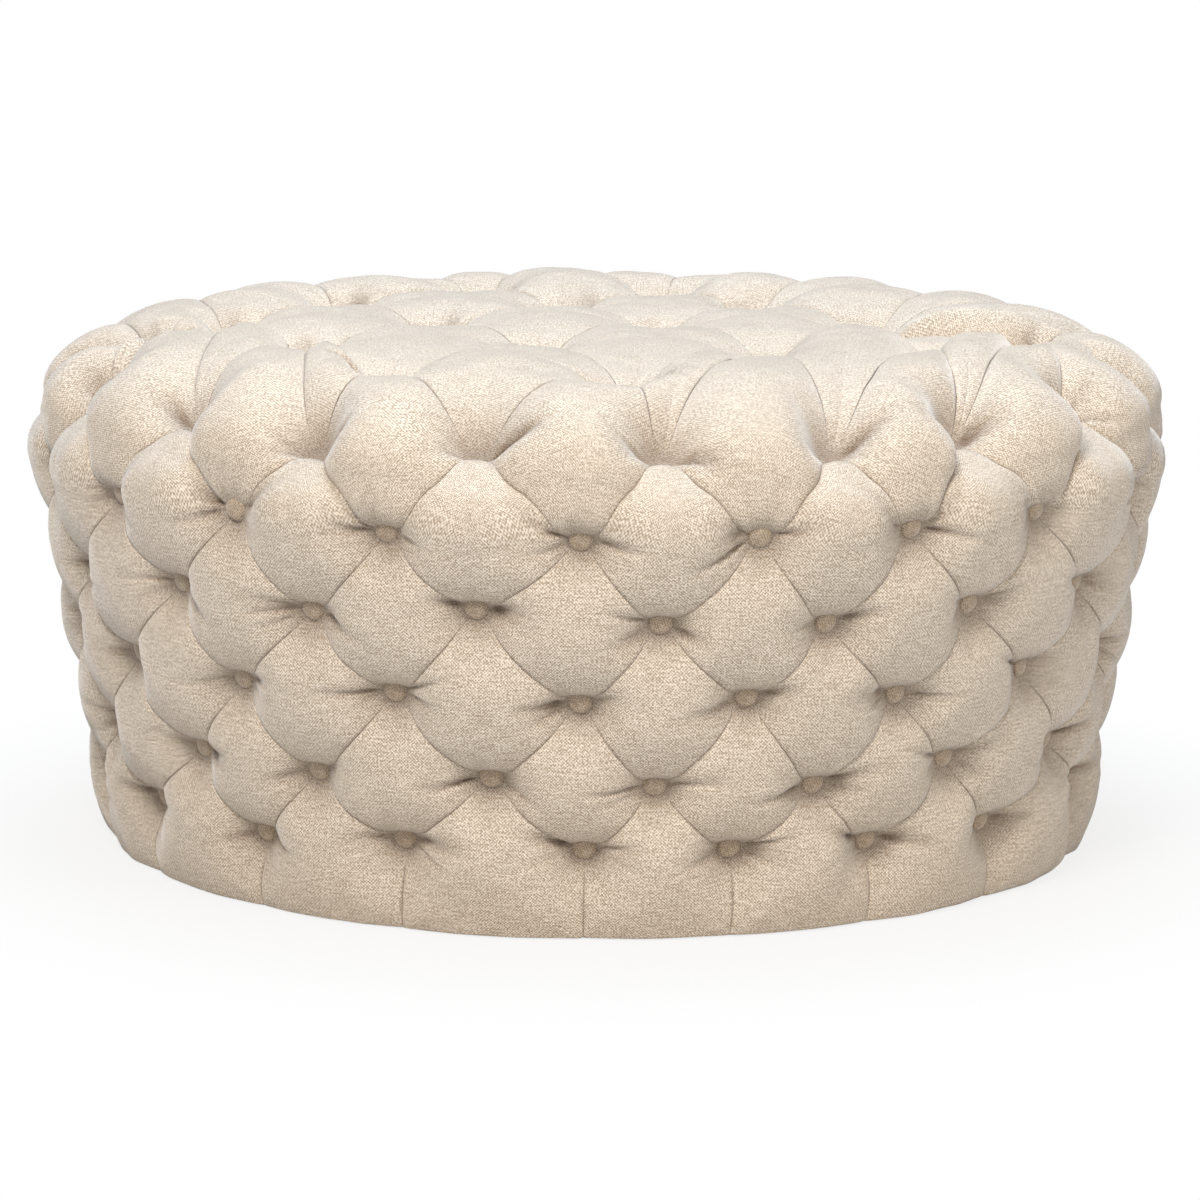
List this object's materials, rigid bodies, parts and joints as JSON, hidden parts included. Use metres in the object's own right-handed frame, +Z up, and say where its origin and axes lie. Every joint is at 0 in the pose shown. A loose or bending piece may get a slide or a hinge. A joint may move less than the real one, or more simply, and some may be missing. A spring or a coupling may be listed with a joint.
{
  "type": "ottoman",
  "caption": "low round ottoman, deep buttoned in diamonds over side and top, linen cover on a padded drum frame",
  "frame": {"origin": "on the floor, below the centre of the round body", "axes": "+Z up along the axis of the drum; -Y faces the picture's viewer and +X is to the viewer's right"},
  "size_m": [1.0018, 1.0018, 0.457],
  "materials": {
    "linen": "slubby plain weave in oatmeal cream, matt",
    "button_linen": "the same linen drawn over a button",
    "foam": "open cell polyurethane foam",
    "wadding": "bonded polyester wadding",
    "twine": "waxed tufting twine",
    "washer_steel": "zinc plated",
    "screw_steel": "zinc plated",
    "plywood": "raw birch plywood",
    "hardboard": "raw hardboard",
    "pine": "sawn pine",
    "cambric": "black non woven cambric",
    "glide_nylon": "black nylon"
  },
  "bodies": {
    "root": {"side_cover": "linen", "top_cover": "linen", "cover_hem": "linen", "button_row_1": "button_linen", "button_row_2": "button_linen", "button_row_3": "button_linen", "button_row_4": "button_linen", "button_row_5": "button_linen", "rim_buttons": "button_linen", "top_buttons": "button_linen", "side_foam": "foam", "top_foam": "foam", "side_wadding": "wadding", "top_wadding": "wadding", "side_twine": "twine", "rim_twine": "twine", "top_twine": "twine", "side_washers": "washer_steel", "rim_washers": "washer_steel", "top_washers": "washer_steel", "top_deck": "plywood", "base_board": "plywood", "side_panel_left": "hardboard", "side_panel_right": "hardboard", "upright_1": "pine", "upright_2": "pine", "upright_3": "pine", "upright_4": "pine", "upright_5": "pine", "upright_6": "pine", "upright_7": "pine", "upright_8": "pine", "deck_rail_long": "pine", "deck_rail_cross": "pine", "deck_screws": "screw_steel", "base_screws": "screw_steel", "panel_nails": "screw_steel", "hem_staples": "screw_steel", "dust_cover_staples": "screw_steel", "glide_nails": "screw_steel", "dust_cover": "cambric", "glides": "glide_nylon"}
  },
  "joints": []
}
